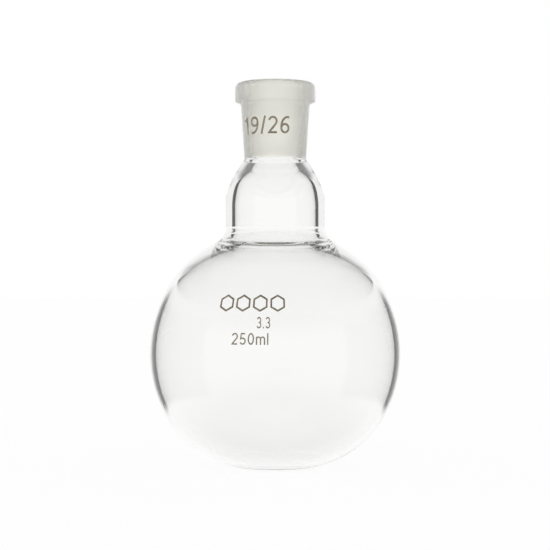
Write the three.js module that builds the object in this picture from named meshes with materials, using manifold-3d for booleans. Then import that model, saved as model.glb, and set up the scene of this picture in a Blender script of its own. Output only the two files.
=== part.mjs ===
// Flat-bottom boiling flask of 250 ml with a standard 19/26 ground-glass socket.
//
// The bulb is blown with its neck, and its bottom is pressed flat so that it stands by itself. The neck
// narrows to a throat. A socket blank, ground inside to a 1:10 taper, is sealed on there in the flame, and
// the seal stays as a small bead. Size marks in fired enamel lie on the socket and on the bulb.
//
// Millimetres, +Z up. The origin is the centre of the flat base, and the marks face -Y.

import * as THREE from "three";
import { mergeVertices } from "three/addons/utils/BufferGeometryUtils.js";
import Module from "manifold-3d";

const wasm = await Module();
wasm.setup();

const radians = THREE.MathUtils.degToRad;

// ---------------------------------------------------------------- driving dimensions

const turns = 48; // flat facets round the axis
const flaskHeight = 130;

const bulb = {
  radius: 42.5,
  equatorHeight: 38,
  equatorArc: 45.6, // radius of the meridian at the equator, which is a little flatter than a sphere
  upperTurn: radians(23.4), // where the equator's arc gives way to the upper one
  upperArc: 39.7,
  lowerTurn: radians(16.7),
  lowerArc: 36.6,
  heelArc: 10.2, // rounding between the side and the flat base
  wall: 2,
  innerUpperArc: 33.9, // thickens the wall to about 3 mm towards the neck
  innerLowerArc: 34.6,
  floor: 2.2,
  innerHeelArc: 8.4,
};

const neck = {
  outerRadius: 16.85,
  innerRadius: 13.7,
  outerJunction: 5.5, // hollow rounding where the neck meets the bulb
  innerJunction: 6,
  footHeight: 81, // cut between bulb and neck, on the straight tube
  shoulderStart: 89.5,
  shoulderArc: 13,
  shoulderTurn: radians(26.5),
  throatStart: 99, // where the shoulder's straight cone ends
  throatArc: 30,
  innerShoulderStart: 88.4,
  innerShoulderArc: 17,
  innerShoulderTurn: radians(36.4),
};

const seal = {
  bottom: 101.3,
  top: 104, // foot of the ground length
  beadDepth: 0.3, // how far the bead stands into the throat
  beadHeight: 102.5,
  beadLength: 1.2,
};

const socket = {
  mouthRadius: 9.4, // 18.8 mm wide end of the taper
  groundLength: 26,
  taper: 0.05, // fall of the radius per millimetre of depth, which is 1:10 on the diameter
  outerRadius: 10.5, // at the foot
  outerTaper: 0.065,
  lip: 0.4,
  collarRadius: 13.65,
  collarHeight: 6.9,
  collarTopArc: 1.9,
  collarFootArc: 0.8,
  collarRootArc: 1.3,
};
socket.groundEnd = socket.mouthRadius - socket.taper * socket.groundLength;

const enamel = {
  thickness: 0.15,
  lift: 0.1, // clearance over the faceted glass
};

// ---------------------------------------------------------------- materials

const clearGlass = new THREE.MeshStandardMaterial({
  color: 0xeaf0ec,
  roughness: 0.05,
  metalness: 0,
  transparent: true,
  opacity: 0.35,
});
const groundGlass = new THREE.MeshStandardMaterial({
  color: 0xdbdbd3,
  roughness: 0.8,
  metalness: 0,
  transparent: true,
  opacity: 0.85,
});
const firedEnamel = new THREE.MeshStandardMaterial({ color: 0x8e8674, roughness: 0.6, metalness: 0 });

// ---------------------------------------------------------------- outlines turned on the axis

const at = (radius, height) => new THREE.Vector2(radius, height);

// Adds an arc to an outline. The surface normal turns from one angle to the other, counted from the
// outward horizontal, and a negative radius makes the arc hollow.
function arc(outline, radius, from, to, steps) {
  const start = outline.at(-1);
  const centre = at(start.x - radius * Math.cos(from), start.y - radius * Math.sin(from));
  for (let i = 1; i <= steps; i++) {
    const angle = from + ((to - from) * i) / steps;
    outline.push(at(centre.x + radius * Math.cos(angle), centre.y + radius * Math.sin(angle)));
  }
}

function turned(outline) {
  return new THREE.LatheGeometry(outline, turns).rotateX(Math.PI / 2);
}

// Half meridian from the centre of the base to the foot of the neck, `wall` inside the outer surface at
// the equator.
function bulbOutline({ wall, floor, upperArc, lowerArc, heelArc, neckRadius, junction }) {
  const { radius, equatorHeight, upperTurn, lowerTurn } = bulb;
  const equatorArc = bulb.equatorArc - wall;
  const equatorCentre = radius - bulb.equatorArc;
  const upperCentre = equatorCentre + (equatorArc - upperArc) * Math.cos(upperTurn);
  const lowerCentre = equatorHeight - (equatorArc - lowerArc) * Math.sin(lowerTurn);
  const heelTurn = Math.asin((lowerCentre - heelArc - floor) / (lowerArc - heelArc));
  const junctionTurn = Math.acos((neckRadius + junction - upperCentre) / (upperArc + junction));

  const down = [at(radius - wall, equatorHeight)];
  arc(down, equatorArc, 0, -lowerTurn, 2);
  arc(down, lowerArc, -lowerTurn, -heelTurn, 6);
  arc(down, heelArc, -heelTurn, -Math.PI / 2, 4);
  const up = [at(radius - wall, equatorHeight)];
  arc(up, equatorArc, 0, upperTurn, 3);
  arc(up, upperArc, upperTurn, junctionTurn, 6);
  arc(up, -junction, junctionTurn, 0, 4);
  return [at(0, floor), ...down.reverse(), ...up.slice(1), at(neckRadius, neck.footHeight)];
}

function makeBulb() {
  const outer = bulbOutline({
    wall: 0,
    floor: 0,
    upperArc: bulb.upperArc,
    lowerArc: bulb.lowerArc,
    heelArc: bulb.heelArc,
    neckRadius: neck.outerRadius,
    junction: neck.outerJunction,
  });
  const inner = bulbOutline({
    wall: bulb.wall,
    floor: bulb.floor,
    upperArc: bulb.innerUpperArc,
    lowerArc: bulb.innerLowerArc,
    heelArc: bulb.innerHeelArc,
    neckRadius: neck.innerRadius,
    junction: neck.innerJunction,
  });
  return turned([...outer, ...inner.reverse()]);
}

// Outer half meridian of the neck, from its foot to the height `top` in the throat.
function neckOutline(top) {
  const outline = [at(neck.outerRadius, neck.footHeight), at(neck.outerRadius, neck.shoulderStart)];
  arc(outline, neck.shoulderArc, 0, neck.shoulderTurn, 5);
  const shoulder = outline.at(-1);
  const fall = (neck.throatStart - shoulder.y) * Math.tan(neck.shoulderTurn);
  outline.push(at(shoulder.x - fall, neck.throatStart));
  const rise = top - neck.throatStart;
  const throatTurn = Math.asin(Math.sin(neck.shoulderTurn) + rise / neck.throatArc);
  arc(outline, neck.throatArc, neck.shoulderTurn, throatTurn, 3);
  return outline;
}

function makeNeck() {
  const outer = neckOutline(seal.bottom);
  const inner = [at(neck.innerRadius, neck.footHeight), at(neck.innerRadius, neck.innerShoulderStart)];
  arc(inner, neck.innerShoulderArc, 0, neck.innerShoulderTurn, 6);
  inner.push(at(socket.groundEnd, seal.bottom));
  return turned([...outer, ...inner.reverse(), outer[0]]);
}

// The outer face goes on in the line of the neck's shoulder, and the inner one swells into the throat.
function makeSealBead() {
  const neckTop = neckOutline(seal.bottom).at(-1);
  const crest = socket.groundEnd - seal.beadDepth;
  const half = seal.beadLength / 2;
  return turned([
    neckTop,
    at(socket.outerRadius, seal.top),
    at(socket.groundEnd, seal.top),
    at(socket.groundEnd, seal.beadHeight + half),
    at(crest, seal.beadHeight + half / 2),
    at(crest, seal.beadHeight - half / 2),
    at(socket.groundEnd, seal.beadHeight - half),
    at(socket.groundEnd, seal.bottom),
    neckTop,
  ]);
}

function makeSocket() {
  const collarFoot = flaskHeight - socket.collarHeight;
  const rootHeight = collarFoot - socket.collarRootArc;
  const rootRadius = socket.outerRadius + socket.outerTaper * (rootHeight - seal.top);
  const outer = [at(socket.outerRadius, seal.top), at(rootRadius, rootHeight)];
  arc(outer, -socket.collarRootArc, 0, -Math.PI / 2, 3);
  outer.push(at(socket.collarRadius - socket.collarFootArc, collarFoot));
  arc(outer, socket.collarFootArc, -Math.PI / 2, 0, 3);
  outer.push(at(socket.collarRadius, flaskHeight - socket.collarTopArc));
  arc(outer, socket.collarTopArc, 0, Math.PI / 2, 4);
  const inner = [
    at(socket.mouthRadius + socket.lip, flaskHeight),
    at(socket.mouthRadius - socket.taper * socket.lip, flaskHeight - socket.lip),
    at(socket.groundEnd, seal.top),
  ];
  return turned([...outer, ...inner, outer[0]]);
}

// ---------------------------------------------------------------- enamel marks

const markStroke = 0.12; // width of a stroke, as a share of the figure's height
const markGap = 0.17; // space between figures, as a share of the height
const curvePoints = 14;

const line = (...corners) => ({ points: corners.map(([x, y]) => at(x, y)) });
const curve = (x, y, rx, ry, from, to) => ({
  points: new THREE.EllipseCurve(x, y, rx, ry, radians(from), radians(to), to < from).getPoints(curvePoints),
});
const ring = (x, y, rx, ry) => ({
  points: new THREE.EllipseCurve(x, y, rx, ry).getPoints(2 * curvePoints).slice(1),
  closed: true,
});
const hexagon = (x, y, radius) => ({
  points: [30, 90, 150, 210, 270, 330].map((angle) =>
    at(x + radius * Math.cos(radians(angle)), y + radius * Math.sin(radians(angle))),
  ),
  closed: true,
});
const joined = (...strokes) => ({ points: strokes.flatMap((stroke) => stroke.points) });
const halfTurn = ({ points, closed }, x, y) => ({
  points: points.map((p) => at(2 * x - p.x, 2 * y - p.y)),
  closed,
});

// Each figure is one unit high and is drawn by the centre lines of its strokes.
const six = [ring(0.29, 0.3, 0.23, 0.24), curve(0.43, 0.38, 0.37, 0.56, 188, 72)];
const arch = (x) => joined(curve(x + 0.18, 0.48, 0.18, 0.18, 180, 0), line([x + 0.36, 0.4], [x + 0.36, 0]));
const figures = {
  0: { width: 0.58, strokes: [ring(0.29, 0.5, 0.23, 0.44)] },
  1: { width: 0.48, strokes: [line([0.32, 0], [0.32, 1]), line([0.07, 0.74], [0.32, 0.94])] },
  2: {
    width: 0.58,
    strokes: [joined(curve(0.29, 0.7, 0.23, 0.24, 165, -35), line([0.05, 0.06], [0.54, 0.06]))],
  },
  3: {
    width: 0.56,
    strokes: [curve(0.26, 0.715, 0.21, 0.225, 160, -95), curve(0.27, 0.29, 0.23, 0.23, 95, -160)],
  },
  5: {
    width: 0.58,
    strokes: [
      joined(line([0.5, 0.94], [0.14, 0.94], [0.1, 0.49]), curve(0.28, 0.31, 0.24, 0.25, 115, -155)),
    ],
  },
  6: { width: 0.58, strokes: six },
  9: { width: 0.58, strokes: six.map((stroke) => halfTurn(stroke, 0.29, 0.5)) },
  slash: { width: 0.3, strokes: [line([0.02, -0.02], [0.28, 1.02])] },
  point: { width: 0.14, strokes: [line([0.07, 0], [0.07, 0.13])] },
  m: { width: 0.84, strokes: [line([0.06, 0], [0.06, 0.7]), arch(0.06), arch(0.42)] },
  l: { width: 0.12, strokes: [line([0.06, 0], [0.06, 1])] },
  cell: { width: 1, strokes: [hexagon(0.5, 0.5, 0.5)] },
};

// The outline `offset` to the left of a centre line, with mitred corners.
function beside({ points, closed }, offset) {
  const last = points.length - 1;
  return points.map((p, i) => {
    const before = points[i > 0 ? i - 1 : closed ? last : 0];
    const after = points[i < last ? i + 1 : closed ? 0 : last];
    const into = p.clone().sub(i > 0 || closed ? before : after);
    const out = after.clone().sub(p);
    if (i === 0 && !closed) into.copy(out);
    if (i === last && !closed) out.copy(into);
    into.normalize();
    out.normalize();
    const normal = at(-into.y - out.y, into.x + out.x).normalize();
    const mitre = offset / Math.max(0.5, Math.sqrt((1 + into.dot(out)) / 2));
    return p.clone().addScaledVector(normal, mitre);
  });
}

// Long straight stretches are cut up, so that they can follow round glass.
function refined({ points, closed }, longest) {
  const ends = closed ? [...points, points[0]] : points;
  const fine = ends.slice(1).flatMap((end, i) => {
    const start = ends[i];
    const parts = Math.ceil(end.distanceTo(start) / longest);
    return Array.from({ length: parts }, (_, k) => start.clone().lerp(end, (k + 1) / parts));
  });
  return { points: closed ? fine : [points[0], ...fine], closed };
}

function solidOf(geometry) {
  const bare = geometry.clone();
  bare.deleteAttribute("normal");
  bare.deleteAttribute("uv");
  const merged = mergeVertices(bare, 1e-4);
  return new wasm.Manifold(
    new wasm.Mesh({
      numProp: 3,
      vertProperties: new Float32Array(merged.attributes.position.array),
      triVerts: new Uint32Array(merged.index.array),
    }),
  );
}

function strokeSolid(stroke, height) {
  const sized = { points: stroke.points.map((p) => p.clone().multiplyScalar(height)), closed: stroke.closed };
  const fine = refined(sized, 0.9);
  const half = (markStroke * height) / 2;
  const left = beside(fine, half);
  const right = beside(fine, -half).reverse();
  const shape = new THREE.Shape(stroke.closed ? right : [...left, ...right]);
  if (stroke.closed) shape.holes.push(new THREE.Path(left));
  return solidOf(new THREE.ExtrudeGeometry(shape, { depth: enamel.thickness, bevelEnabled: false }));
}

// Lays a flat figure on the glass: x runs round the axis from `turn`, y up from `height`, z off the glass.
function wrapped(solid, turn, height, glassRadius) {
  const { vertProperties, triVerts } = solid.getMesh();
  const aroundRadius = glassRadius(height);
  const positions = new Float32Array(vertProperties.length);
  for (let i = 0; i < vertProperties.length; i += 3) {
    const [x, y, z] = vertProperties.subarray(i, i + 3);
    const angle = turn + x / aroundRadius;
    const radius = glassRadius(height + y) + enamel.lift + z;
    positions.set([radius * Math.sin(angle), -radius * Math.cos(angle), height + y], i);
  }
  return new THREE.BufferGeometry()
    .setAttribute("position", new THREE.BufferAttribute(positions, 3))
    .setIndex(new THREE.BufferAttribute(triVerts, 1));
}

// A mark is one row of figures round the axis. `squeeze` narrows the row.
function markMeshes({ figure, height, middle, turn, squeeze = 1, glassRadius }) {
  const widths = figure.map(([glyph]) => figures[glyph].width);
  const total = widths.reduce((sum, width) => sum + width, 0) + markGap * (figure.length - 1);
  const foot = middle - height / 2;
  let x = (-total / 2) * height;
  return figure.map(([glyph, name], i) => {
    const strokes = figures[glyph].strokes.map((stroke) => strokeSolid(stroke, height));
    const solid = strokes.reduce((whole, stroke) => whole.add(stroke));
    const placed = solid.translate([x, 0, 0]).scale([squeeze, 1, 1]);
    const mesh = new THREE.Mesh(wrapped(placed, turn, foot, glassRadius), firedEnamel);
    mesh.name = name;
    x += (widths[i] + markGap) * height;
    return mesh;
  });
}

const socketRadius = (height) => socket.outerRadius + socket.outerTaper * (height - seal.top);

function bulbRadius(height) {
  const rise = height - bulb.equatorHeight;
  const span = bulb.equatorArc * Math.sin(bulb.upperTurn);
  if (rise <= span) return bulb.radius - bulb.equatorArc + Math.sqrt(bulb.equatorArc ** 2 - rise ** 2);
  const shift = bulb.equatorArc - bulb.upperArc;
  const centreRadius = bulb.radius - bulb.equatorArc + shift * Math.cos(bulb.upperTurn);
  const upperRise = rise - shift * Math.sin(bulb.upperTurn);
  return centreRadius + Math.sqrt(bulb.upperArc ** 2 - upperRise ** 2);
}

const bulbMarksTurn = radians(-11);
const marks = [
  {
    figure: [
      [1, "joint_mark_1"],
      [9, "joint_mark_9"],
      ["slash", "joint_mark_slash"],
      [2, "joint_mark_2"],
      [6, "joint_mark_6"],
    ],
    height: 5.8,
    middle: 114.8,
    turn: radians(-19.7),
    squeeze: 0.925,
    glassRadius: socketRadius,
  },
  {
    figure: [
      ["cell", "emblem_cell_1"],
      ["cell", "emblem_cell_2"],
      ["cell", "emblem_cell_3"],
      ["cell", "emblem_cell_4"],
    ],
    height: 4.8,
    middle: 55.8,
    turn: bulbMarksTurn,
    glassRadius: bulbRadius,
  },
  {
    figure: [
      [3, "grade_mark_3_left"],
      ["point", "grade_mark_point"],
      [3, "grade_mark_3_right"],
    ],
    height: 3.6,
    middle: 49.7,
    turn: radians(-5.2), // it ends above the end of the capacity
    squeeze: 0.75,
    glassRadius: bulbRadius,
  },
  {
    figure: [
      [2, "capacity_mark_2"],
      [5, "capacity_mark_5"],
      [0, "capacity_mark_0"],
      ["m", "capacity_mark_m"],
      ["l", "capacity_mark_l"],
    ],
    height: 3.7,
    middle: 44.6,
    turn: bulbMarksTurn,
    squeeze: 0.95,
    glassRadius: bulbRadius,
  },
];

// ---------------------------------------------------------------- the flask

function glassMesh(name, geometry, material) {
  const mesh = new THREE.Mesh(geometry, material);
  mesh.name = name;
  return mesh;
}

const flask = new THREE.Group();
flask.name = "boiling_flask";
flask.add(
  glassMesh("bulb", makeBulb(), clearGlass),
  glassMesh("neck", makeNeck(), clearGlass),
  glassMesh("seal_bead", makeSealBead(), clearGlass),
  glassMesh("ground_socket", makeSocket(), groundGlass),
);
for (const mark of marks) {
  flask.add(...markMeshes(mark));
}

export default flask;
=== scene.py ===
import math

import bmesh
import bpy
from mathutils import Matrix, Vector


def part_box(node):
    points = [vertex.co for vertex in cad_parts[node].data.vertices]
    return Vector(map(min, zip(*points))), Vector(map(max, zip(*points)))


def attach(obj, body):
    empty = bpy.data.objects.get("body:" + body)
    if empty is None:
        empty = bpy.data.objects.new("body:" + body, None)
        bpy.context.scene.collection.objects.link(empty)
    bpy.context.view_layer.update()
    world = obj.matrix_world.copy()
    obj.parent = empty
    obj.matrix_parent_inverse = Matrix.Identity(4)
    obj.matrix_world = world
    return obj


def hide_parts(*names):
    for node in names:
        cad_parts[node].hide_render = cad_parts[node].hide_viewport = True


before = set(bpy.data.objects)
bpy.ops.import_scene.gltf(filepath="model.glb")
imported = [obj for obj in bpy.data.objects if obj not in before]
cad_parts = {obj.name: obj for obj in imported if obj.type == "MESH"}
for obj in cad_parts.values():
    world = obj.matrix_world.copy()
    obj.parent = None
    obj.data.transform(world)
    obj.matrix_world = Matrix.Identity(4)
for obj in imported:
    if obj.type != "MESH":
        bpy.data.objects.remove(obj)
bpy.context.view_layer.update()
mm = 0.001
scene = bpy.context.scene

# heights and radii that the frame gives, in millimetres
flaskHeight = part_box("ground_socket")[1].z / mm
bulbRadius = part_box("bulb")[1].x / mm
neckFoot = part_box("bulb")[1].z / mm
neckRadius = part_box("neck")[1].x / mm
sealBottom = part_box("seal_bead")[0].z / mm
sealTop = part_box("seal_bead")[1].z / mm
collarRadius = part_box("ground_socket")[1].x / mm


# camera

cameraSet = {
    "distance": 539.9,
    "height": 64.68,
    "aside": -0.09,
    "lens": 103.9,
    "sensor": 36.0,
    "clipStart": 0.01,  # metres
}


def makeCamera(c):
    data = bpy.data.cameras.new("studio_camera")
    data.lens = c["lens"]
    data.sensor_width = c["sensor"]
    data.clip_start = c["clipStart"]
    camera = bpy.data.objects.new("studio_camera", data)
    camera.location = Vector((c["aside"], -c["distance"], c["height"])) * mm
    camera.rotation_euler = (math.radians(90), 0, 0)
    scene.collection.objects.link(camera)
    scene.camera = camera


makeCamera(cameraSet)
print("camera placed")


# node helpers

def addNode(tree, kind, **settings):
    made = tree.nodes.new(kind)
    for name, value in settings.items():
        setattr(made, name, value)
    return made


def feed(tree, target, value):
    if isinstance(value, bpy.types.NodeSocket):
        tree.links.new(value, target)
    else:
        target.default_value = value


def calc(tree, operation, a, b=0.0):
    made = addNode(tree, "ShaderNodeMath", operation=operation)
    feed(tree, made.inputs[0], a)
    feed(tree, made.inputs[1], b)
    return made.outputs[0]


def fade(tree, value, low, high, start=0.0, end=1.0):
    made = addNode(tree, "ShaderNodeMapRange", interpolation_type="SMOOTHSTEP")
    feed(tree, made.inputs["Value"], value)
    made.inputs["From Min"].default_value = low
    made.inputs["From Max"].default_value = high
    made.inputs["To Min"].default_value = start
    made.inputs["To Max"].default_value = end
    return made.outputs["Result"]


def noise(tree, where, scale, detail=2.0, roughness=0.5):
    made = addNode(tree, "ShaderNodeTexNoise")
    feed(tree, made.inputs["Vector"], where)
    made.inputs["Scale"].default_value = scale
    made.inputs["Detail"].default_value = detail
    made.inputs["Roughness"].default_value = roughness
    return made.outputs["Fac"]


def mixColour(tree, share, first, second):
    made = addNode(tree, "ShaderNodeMix", data_type="RGBA")
    feed(tree, made.inputs["Factor"], share)
    feed(tree, made.inputs["A"], first)
    feed(tree, made.inputs["B"], second)
    return made.outputs["Result"]


def bump(tree, height, distance, strength=1.0):
    made = addNode(tree, "ShaderNodeBump")
    made.inputs["Strength"].default_value = strength
    made.inputs["Distance"].default_value = distance
    feed(tree, made.inputs["Height"], height)
    return made.outputs["Normal"]


def newMaterial(name):
    material = bpy.data.materials.new(name)
    material.use_nodes = True
    tree = material.node_tree
    return material, tree, tree.nodes["Principled BSDF"]


def bareMaterial(name):
    material, tree, shader = newMaterial(name)
    tree.nodes.remove(shader)
    return material, tree, tree.nodes["Material Output"].inputs["Surface"]


def objectPlace(tree, stretch=(1, 1, 1)):
    coordinate = addNode(tree, "ShaderNodeTexCoord").outputs["Object"]
    mapping = addNode(tree, "ShaderNodeMapping")
    feed(tree, mapping.inputs["Vector"], coordinate)
    mapping.inputs["Scale"].default_value = stretch
    return mapping.outputs["Vector"]


# materials

clearSet = {
    "tint": (0.98, 0.981, 0.975, 1),
    "ior": 1.473,
    "stretch": (1, 1, 0.45),  # blowing draws the waves out along the axis
    "waveScale": 55.0,  # per metre, so the waves of the blown wall are about 20 mm long
    "waveHeight": 0.00004,
    "smearScale": 160.0,
    "smearSpan": (0.52, 0.8),
    "smear": 0.012,
}


def makeClearGlass(c):
    material, tree, shader = newMaterial("clear_borosilicate")
    feed(tree, shader.inputs["Base Color"], c["tint"])
    feed(tree, shader.inputs["IOR"], c["ior"])
    feed(tree, shader.inputs["Transmission Weight"], 1.0)
    where = objectPlace(tree, c["stretch"])
    smear = noise(tree, where, c["smearScale"], 4.0)
    feed(tree, shader.inputs["Roughness"], fade(tree, smear, *c["smearSpan"], 0.0, c["smear"]))
    wave = noise(tree, where, c["waveScale"], 1.0)
    feed(tree, shader.inputs["Normal"], bump(tree, wave, c["waveHeight"]))
    return material


groundSet = {
    "tint": (0.985, 0.979, 0.91, 1),
    "ior": 1.473,
    "roughness": (0.62, 0.78),
    "grainScale": 5200.0,
    "grainHeight": 0.00003,
    "blotchScale": 240.0,
    "blotchShade": 0.96,
    "ringStretch": (0.05, 0.05, 1),
    "ringScale": 900.0,  # turning marks of the grinding cone
    "ringSpan": (0.3, 0.7),
    "fadeLength": 1.4,  # the grinding fades out towards the seal
    "fadeLeft": 0.25,
}


def makeGroundGlass(c):
    material, tree, shader = newMaterial("ground_borosilicate")
    feed(tree, shader.inputs["IOR"], c["ior"])
    feed(tree, shader.inputs["Transmission Weight"], 1.0)
    where = objectPlace(tree)
    blotch = noise(tree, where, c["blotchScale"], 3.0)
    deep = tuple(c["blotchShade"] * x for x in c["tint"][:3]) + (1,)
    feed(tree, shader.inputs["Base Color"], mixColour(tree, blotch, c["tint"], deep))
    rings = noise(tree, objectPlace(tree, c["ringStretch"]), c["ringScale"], 2.0)
    ground = fade(tree, rings, *c["ringSpan"], *c["roughness"])
    parts = addNode(tree, "ShaderNodeSeparateXYZ")
    feed(tree, parts.inputs[0], where)
    fadeEnd = (sealTop + c["fadeLength"]) * mm
    inside = fade(tree, parts.outputs["Z"], sealTop * mm, fadeEnd, c["fadeLeft"])
    feed(tree, shader.inputs["Roughness"], calc(tree, "MULTIPLY", ground, inside))
    grain = noise(tree, where, c["grainScale"], 2.0)
    feed(tree, shader.inputs["Normal"], bump(tree, grain, c["grainHeight"]))
    return material


def makeOpenSeam():
    material, tree, surface = bareMaterial("open_seam")
    feed(tree, surface, addNode(tree, "ShaderNodeBsdfTransparent").outputs[0])
    return material


enamelSet = {
    "ink": (0.24, 0.195, 0.13, 1),
    "worn": (0.36, 0.31, 0.22, 1),
    "wearScale": 900.0,
    "wearSpan": (0.42, 0.68),
    "patchScale": 420.0,
    "patchSpan": (0.3, 0.6),
    "thinnest": 0.7,
    "roughness": (0.45, 0.7),
    "grainScale": 6000.0,
    "grainHeight": 0.00001,
}


def makeEnamel(c):
    material, tree, shader = newMaterial("fired_enamel_ink")
    where = objectPlace(tree)
    wear = fade(tree, noise(tree, where, c["wearScale"], 5.0, 0.65), *c["wearSpan"])
    feed(tree, shader.inputs["Base Color"], mixColour(tree, wear, c["ink"], c["worn"]))
    feed(tree, shader.inputs["Roughness"], fade(tree, wear, 0.0, 1.0, *c["roughness"]))
    grain = noise(tree, where, c["grainScale"], 2.0)
    feed(tree, shader.inputs["Normal"], bump(tree, grain, c["grainHeight"]))
    patches = noise(tree, where, c["patchScale"], 3.0)
    feed(tree, shader.inputs["Alpha"], fade(tree, patches, *c["patchSpan"], c["thinnest"], 1.0))
    return material


clearGlass = makeClearGlass(clearSet)
groundGlass = makeGroundGlass(groundSet)
openSeam = makeOpenSeam()
enamel = makeEnamel(enamelSet)
print("materials made")


# turned glass: half meridians are drawn in millimetres and spun round the axis

turnSteps = 160
arcStep = 0.5
mergeGap = 0.0005
seamGap = 0.001
clearIndex, seamIndex, groundIndex = range(3)  # places of the materials on each glass piece


def spinRound(bm, steps):
    bmesh.ops.spin(
        bm,
        geom=bm.verts[:] + bm.edges[:],
        cent=(0, 0, 0),
        axis=(0, 0, 1),
        angle=2 * math.pi,
        steps=steps,
        use_merge=True,
    )


def addMesh(name, bm):
    mesh = bpy.data.meshes.new(name)
    bm.to_mesh(mesh)
    bm.free()
    made = bpy.data.objects.new(name, mesh)
    scene.collection.objects.link(made)
    return made


def startAt(bm, radius, height):
    return bm.verts.new((radius, 0, height))


def lineTo(bm, last, radius, height):
    end = startAt(bm, radius, height)
    bm.edges.new((last, end))
    return end


# the normal turns from one angle to the other, and a negative radius makes the arc hollow
def arcTo(bm, last, radius, start, end):
    centre = last.co - Vector((math.cos(start), 0, math.sin(start))) * radius
    steps = max(3, round(abs(end - start) * abs(radius) / arcStep))
    made = bmesh.ops.spin(
        bm, geom=[last], cent=centre, axis=(0, -1, 0), angle=end - start, steps=steps
    )
    return made["geom_last"][0]


def spinGlass(bm, name, seams, nodeName):
    spinRound(bm, turnSteps)
    bmesh.ops.remove_doubles(bm, verts=bm.verts[:], dist=mergeGap)
    bmesh.ops.recalc_face_normals(bm, faces=bm.faces[:])
    for face in bm.faces:
        face.smooth = True
        for seam in seams:
            if all(abs(v.co.z - seam) < seamGap for v in face.verts):
                face.material_index = seamIndex
                for edge in face.edges:
                    edge.smooth = False
    bmesh.ops.scale(bm, vec=(mm, mm, mm), verts=bm.verts[:])
    piece = addMesh(name, bm)
    for material in (clearGlass, openSeam, groundGlass):
        piece.data.materials.append(material)
    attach(piece, "root")
    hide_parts(nodeName)
    return piece


bulbSet = {
    "equator": 38.0,
    "equatorArc": 45.6,
    "upperTurn": math.radians(23.4),
    "lowerTurn": math.radians(16.7),
    "outside": {
        "wall": 0.0,
        "floor": 0.0,
        "upperArc": 39.7,
        "lowerArc": 36.6,
        "heelArc": 10.2,
        "tube": neckRadius,
        "junction": 5.5,
    },
    "inside": {
        "wall": 2.0,
        "floor": 2.2,
        "upperArc": 33.9,  # the wall thickens towards the neck
        "lowerArc": 34.6,
        "heelArc": 8.4,
        "tube": 13.7,
        "junction": 6.0,
    },
}


# from the centre of the base to the foot of the neck
def drawBulb(bm, b, side):
    equatorArc = b["equatorArc"] - side["wall"]
    upperShift = equatorArc - side["upperArc"]
    upperCentre = bulbRadius - b["equatorArc"] + upperShift * math.cos(b["upperTurn"])
    lowerCentre = b["equator"] - (equatorArc - side["lowerArc"]) * math.sin(b["lowerTurn"])
    heelRise = lowerCentre - side["heelArc"] - side["floor"]
    heelTurn = math.asin(heelRise / (side["lowerArc"] - side["heelArc"]))
    reach = side["tube"] + side["junction"] - upperCentre
    junctionTurn = math.acos(reach / (side["upperArc"] + side["junction"]))
    equatorPoint = startAt(bm, bulbRadius - side["wall"], b["equator"])
    last = arcTo(bm, equatorPoint, equatorArc, 0, -b["lowerTurn"])
    last = arcTo(bm, last, side["lowerArc"], -b["lowerTurn"], -heelTurn)
    last = arcTo(bm, last, side["heelArc"], -heelTurn, -math.pi / 2)
    lineTo(bm, last, 0, side["floor"])
    last = arcTo(bm, equatorPoint, equatorArc, 0, b["upperTurn"])
    last = arcTo(bm, last, side["upperArc"], b["upperTurn"], junctionTurn)
    last = arcTo(bm, last, -side["junction"], junctionTurn, 0)
    return lineTo(bm, last, side["tube"], neckFoot)


def makeBulb(b):
    bm = bmesh.new()
    outerTop = drawBulb(bm, b, b["outside"])
    innerTop = drawBulb(bm, b, b["inside"])
    bm.edges.new((outerTop, innerTop))
    piece = spinGlass(bm, "bulb_glass", [neckFoot], "bulb")


neckSet = {
    "shoulderStart": 89.5,
    "shoulderArc": 13.0,
    "shoulderTurn": math.radians(26.5),
    "throatStart": 99.0,
    "throatArc": 30.0,
    "boreRadius": 13.7,
    "boreShoulderStart": 88.4,
    "boreArc": 17.0,
    "boreTurn": math.radians(36.4),
    "throatRadius": 8.1,
}


def drawShoulder(bm, last, n, top):
    last = lineTo(bm, last, neckRadius, n["shoulderStart"])
    last = arcTo(bm, last, n["shoulderArc"], 0, n["shoulderTurn"])
    fall = (n["throatStart"] - last.co.z) * math.tan(n["shoulderTurn"])
    last = lineTo(bm, last, last.co.x - fall, n["throatStart"])
    rise = (top - n["throatStart"]) / n["throatArc"]
    throatTurn = math.asin(math.sin(n["shoulderTurn"]) + rise)
    return arcTo(bm, last, n["throatArc"], n["shoulderTurn"], throatTurn), throatTurn


def makeNeck(n):
    bm = bmesh.new()
    foot = startAt(bm, neckRadius, neckFoot)
    outerTop, throatTurn = drawShoulder(bm, foot, n, sealBottom)
    topRadius = outerTop.co.x
    last = lineTo(bm, outerTop, n["throatRadius"], sealBottom)
    shoulder = startAt(bm, n["boreRadius"], n["boreShoulderStart"])
    lineTo(bm, lineTo(bm, shoulder, n["boreRadius"], neckFoot), neckRadius, neckFoot)
    top = arcTo(bm, shoulder, n["boreArc"], 0, n["boreTurn"])
    bm.edges.new((top, last))
    piece = spinGlass(bm, "neck_glass", [neckFoot, sealBottom], "neck")
    return topRadius, throatTurn


sealSet = {
    "crestHeight": 102.5,
    "crestDepth": 0.3,
    "crestLength": 1.3,
    "footRadius": 10.5,
    "footStep": 0.1,
}


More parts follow.
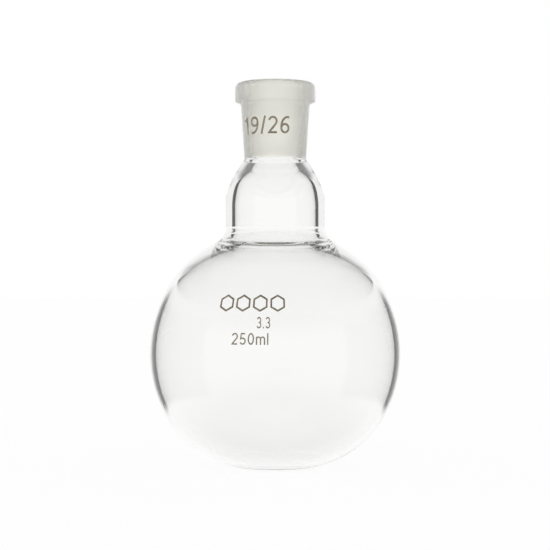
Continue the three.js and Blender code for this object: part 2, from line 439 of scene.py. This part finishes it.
# goes on from the neck's top with the same curve
def makeSealBead(s, n, startRadius, startTurn):
    bm = bmesh.new()
    rise = (sealTop - sealBottom - s["footStep"]) / n["throatArc"]
    endTurn = math.asin(math.sin(startTurn) + rise)
    outer = startAt(bm, startRadius, sealBottom)
    last = arcTo(bm, outer, n["throatArc"], startTurn, endTurn)
    last = lineTo(bm, last, s["footRadius"], sealTop)
    last = lineTo(bm, last, n["throatRadius"], sealTop)
    half = s["crestLength"] / 2
    swell = (half**2 + s["crestDepth"] ** 2) / (2 * s["crestDepth"])
    turn = math.asin(half / swell)
    last = lineTo(bm, last, n["throatRadius"], s["crestHeight"] + half)
    last = arcTo(bm, last, -swell, -turn, turn)
    last = lineTo(bm, last, n["throatRadius"], sealBottom)
    bm.edges.new((last, outer))
    piece = spinGlass(bm, "seal_bead_glass", [sealBottom, sealTop], "seal_bead")


socketSet = {
    "mouthRadius": 9.4,
    "taper": 0.05,
    "lip": 0.4,
    "outerTaper": 0.065,
    "collarHeight": 6.9,
    "collarTopArc": 1.9,
    "collarFootArc": 0.8,
    "collarRootArc": 1.3,
    "groundMargin": 0.01,
}


def makeSocket(s, footRadius):
    bm = bmesh.new()
    collarFoot = flaskHeight - s["collarHeight"]
    rootHeight = collarFoot - s["collarRootArc"]
    rootRadius = footRadius + s["outerTaper"] * (rootHeight - sealTop)
    boreFoot = s["mouthRadius"] - s["taper"] * (flaskHeight - sealTop)
    first = startAt(bm, footRadius, sealTop)
    last = lineTo(bm, first, rootRadius, rootHeight)
    last = arcTo(bm, last, -s["collarRootArc"], 0, -math.pi / 2)
    last = lineTo(bm, last, collarRadius - s["collarFootArc"], collarFoot)
    last = arcTo(bm, last, s["collarFootArc"], -math.pi / 2, 0)
    last = lineTo(bm, last, collarRadius, flaskHeight - s["collarTopArc"])
    last = arcTo(bm, last, s["collarTopArc"], 0, math.pi / 2)
    last = lineTo(bm, last, s["mouthRadius"] + s["lip"], flaskHeight)
    lipRadius = s["mouthRadius"] - s["taper"] * s["lip"]
    last = lineTo(bm, last, lipRadius, flaskHeight - s["lip"])
    last = lineTo(bm, last, boreFoot, sealTop)
    bm.edges.new((last, first))
    piece = spinGlass(bm, "socket_glass", [sealTop], "ground_socket")
    limit = (s["mouthRadius"] + s["lip"] + s["groundMargin"]) * mm
    for face in piece.data.polygons:
        radius = max(math.hypot(*piece.data.vertices[i].co.xy) for i in face.vertices)
        if radius < limit and face.material_index == clearIndex:
            face.material_index = groundIndex


makeBulb(bulbSet)
neckTopRadius, neckTopTurn = makeNeck(neckSet)
makeSealBead(sealSet, neckSet, neckTopRadius, neckTopTurn)
makeSocket(socketSet, sealSet["footRadius"])
print("glass turned")


# enamel marks: each figure's outer face, laid on the true round glass

markSet = {"sink": 0.21, "thickness": 0.03, "merge": 0.002, "outward": 0.5}


def facesOut(face, limit):
    return face.normal.xy.dot(face.calc_center_median().xy.normalized()) >= limit


def makeMark(nodeName, m):
    bm = bmesh.new()
    bm.from_mesh(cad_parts[nodeName].data)
    bmesh.ops.remove_doubles(bm, verts=bm.verts[:], dist=m["merge"] * mm)
    bm.normal_update()
    hidden = [face for face in bm.faces if not facesOut(face, m["outward"])]
    bmesh.ops.delete(bm, geom=hidden, context="FACES")
    for vertex in bm.verts:
        radius = vertex.co.xy.length
        vertex.co.xy *= (radius - m["sink"] * mm) / radius
    bmesh.ops.solidify(bm, geom=bm.faces[:], thickness=m["thickness"] * mm)
    piece = addMesh(nodeName + "_enamel", bm)
    piece.data.materials.append(enamel)
    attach(piece, "root")
    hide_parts(nodeName)


markNodes = [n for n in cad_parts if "_mark_" in n or n.startswith("emblem_")]
for markNode in sorted(markNodes):
    makeMark(markNode, markSet)
print(len(markNodes), "enamel marks laid")


# stage and light

# the glow makes up what the floor's grey leaves, so floor and surroundings are equally white
floorSet = {
    "radius": 4.0,
    "segments": 96,
    "drop": 0.0001,
    "colour": (0.2, 0.2, 0.2, 1),
    "glow": 0.912,
}


def makeFloor(f):
    bm = bmesh.new()
    bmesh.ops.create_circle(bm, cap_ends=True, segments=f["segments"], radius=f["radius"])
    bmesh.ops.translate(bm, vec=(0, 0, -f["drop"]), verts=bm.verts[:])
    floor = addMesh("floor", bm)
    material, tree, shader = newMaterial("pale_floor")
    feed(tree, shader.inputs["Base Color"], f["colour"])
    feed(tree, shader.inputs["Roughness"], 1.0)
    feed(tree, shader.inputs["Specular IOR Level"], 0.0)
    feed(tree, shader.inputs["Emission Color"], (1, 1, 1, 1))
    feed(tree, shader.inputs["Emission Strength"], f["glow"])
    floor.data.materials.append(material)


makeFloor(floorSet)

# rings of card, black at the sides and faint in front and behind, are seen only by light reflected
# inside a glass wall and paint the dark reflected lines of the walls;
# clear and full are angles from the front-to-back line
cardSet = {
    "black": (0.01, 0.009, 0.004, 1),
    "radius": 72.0,
    "steps": 96,
    "faint": 0.13,
    "levels": {
        "bulb": {"bottom": 0.5, "low": 9.0, "high": 61.0, "top": 80.0, "clear": 47.0, "full": 53.0},
        "neck": {"bottom": 80.5, "low": 82.0, "high": 120.0, "top": 140.0, "clear": 50.0, "full": 53.0},
    },
}

# light that has entered the glass at least once and left it at most once
wallSet = {"entered": 0.5, "crossed": 2.5, "reflected": 0.5}


# 1 for light reflected inside a wall that hasn't crossed the flask, otherwise 0
def insideShare(tree, w):
    path = addNode(tree, "ShaderNodeLightPath")
    entered = calc(tree, "GREATER_THAN", path.outputs["Transmission Depth"], w["entered"])
    near = calc(tree, "LESS_THAN", path.outputs["Transmission Depth"], w["crossed"])
    bounced = calc(tree, "GREATER_THAN", path.outputs["Glossy Depth"], w["reflected"])
    return calc(tree, "MULTIPLY", calc(tree, "MULTIPLY", entered, near), bounced)


def makeCardMaterial(name, c, level):
    material, tree, surface = bareMaterial(name)
    place = addNode(tree, "ShaderNodeSeparateXYZ")
    feed(tree, place.inputs[0], addNode(tree, "ShaderNodeTexCoord").outputs["Object"])
    across = calc(tree, "ABSOLUTE", place.outputs["X"])
    along = calc(tree, "ABSOLUTE", place.outputs["Y"])
    turn = calc(tree, "ARCTAN2", across, along)
    clearTurn = math.radians(level["clear"])
    edge = fade(tree, turn, clearTurn, math.radians(level["full"]), c["faint"], 1.0)
    height = calc(tree, "MULTIPLY", place.outputs["Z"], 1 / mm)
    rise = fade(tree, height, level["bottom"], level["low"])
    fall = fade(tree, height, level["high"], level["top"], 1.0, 0.0)
    strength = calc(tree, "MULTIPLY", calc(tree, "MULTIPLY", rise, fall), edge)
    share = calc(tree, "MULTIPLY", insideShare(tree, wallSet), strength)
    clear = addNode(tree, "ShaderNodeBsdfTransparent")
    # painted dark reflection: this black is met only by light reflected inside a glass wall and draws
    # the walls' dark lines
    darkReflection = addNode(tree, "ShaderNodeBsdfDiffuse")
    feed(tree, darkReflection.inputs["Color"], c["black"])
    mixer = addNode(tree, "ShaderNodeMixShader")
    feed(tree, mixer.inputs[0], share)
    feed(tree, mixer.inputs[1], clear.outputs[0])
    feed(tree, mixer.inputs[2], darkReflection.outputs[0])
    feed(tree, surface, mixer.outputs[0])
    return material


def makeCard(name, c, level):
    bm = bmesh.new()
    foot = startAt(bm, c["radius"], level["bottom"])
    lineTo(bm, foot, c["radius"], level["top"])
    bmesh.ops.scale(bm, vec=(mm, mm, mm), verts=bm.verts[:])
    spinRound(bm, c["steps"])
    card = addMesh(name, bm)
    card.visible_camera = False
    card.visible_diffuse = False
    card.visible_shadow = False
    card.data.materials.append(makeCardMaterial(name, c, level))


for levelName, level in cardSet["levels"].items():
    makeCard("card_" + levelName, cardSet, level)


# the sky dims from skyStart to skyEnd degrees up, and sooner for light reflected inside a wall
worldSet = {
    "bright": 1.0,
    "top": 0.1,
    "skyStart": 8.0,
    "skyEnd": 60.0,
    "insideTop": 0.22,
    "insideStart": 12.0,
    "insideEnd": 31.0,
}


def makeWorld(w):
    world = bpy.data.worlds.new("studio_world")
    world.use_nodes = True
    scene.world = world
    tree = world.node_tree
    background = tree.nodes["Background"]
    direction = addNode(tree, "ShaderNodeTexCoord").outputs["Generated"]
    parts = addNode(tree, "ShaderNodeSeparateXYZ")
    feed(tree, parts.inputs[0], direction)
    height = calc(tree, "MULTIPLY", calc(tree, "ARCSINE", parts.outputs["Z"]), 180 / math.pi)
    light = fade(tree, height, w["skyStart"], w["skyEnd"], w["bright"], w["top"])
    dim = fade(tree, height, w["insideStart"], w["insideEnd"], w["bright"], w["insideTop"])
    sky = addNode(tree, "ShaderNodeMix", data_type="FLOAT")
    feed(tree, sky.inputs["Factor"], insideShare(tree, wallSet))
    feed(tree, sky.inputs["A"], light)
    feed(tree, sky.inputs["B"], dim)
    seen = addNode(tree, "ShaderNodeLightPath").outputs["Is Camera Ray"]
    final = addNode(tree, "ShaderNodeMix", data_type="FLOAT")
    feed(tree, final.inputs["Factor"], seen)
    feed(tree, final.inputs["A"], sky.outputs["Result"])
    feed(tree, final.inputs["B"], w["bright"])
    feed(tree, background.inputs["Strength"], final.outputs["Result"])
    feed(tree, background.inputs["Color"], (1, 1, 1, 1))


makeWorld(worldSet)

# light runs a long way inside the walls before it leaves
lightSet = {"bounces": 96, "clearLayers": 32}

scene.view_settings.view_transform = "Standard"
scene.cycles.max_bounces = lightSet["bounces"]
scene.cycles.transmission_bounces = lightSet["bounces"]
scene.cycles.glossy_bounces = lightSet["bounces"]
scene.cycles.transparent_max_bounces = lightSet["clearLayers"]
print("studio lit")
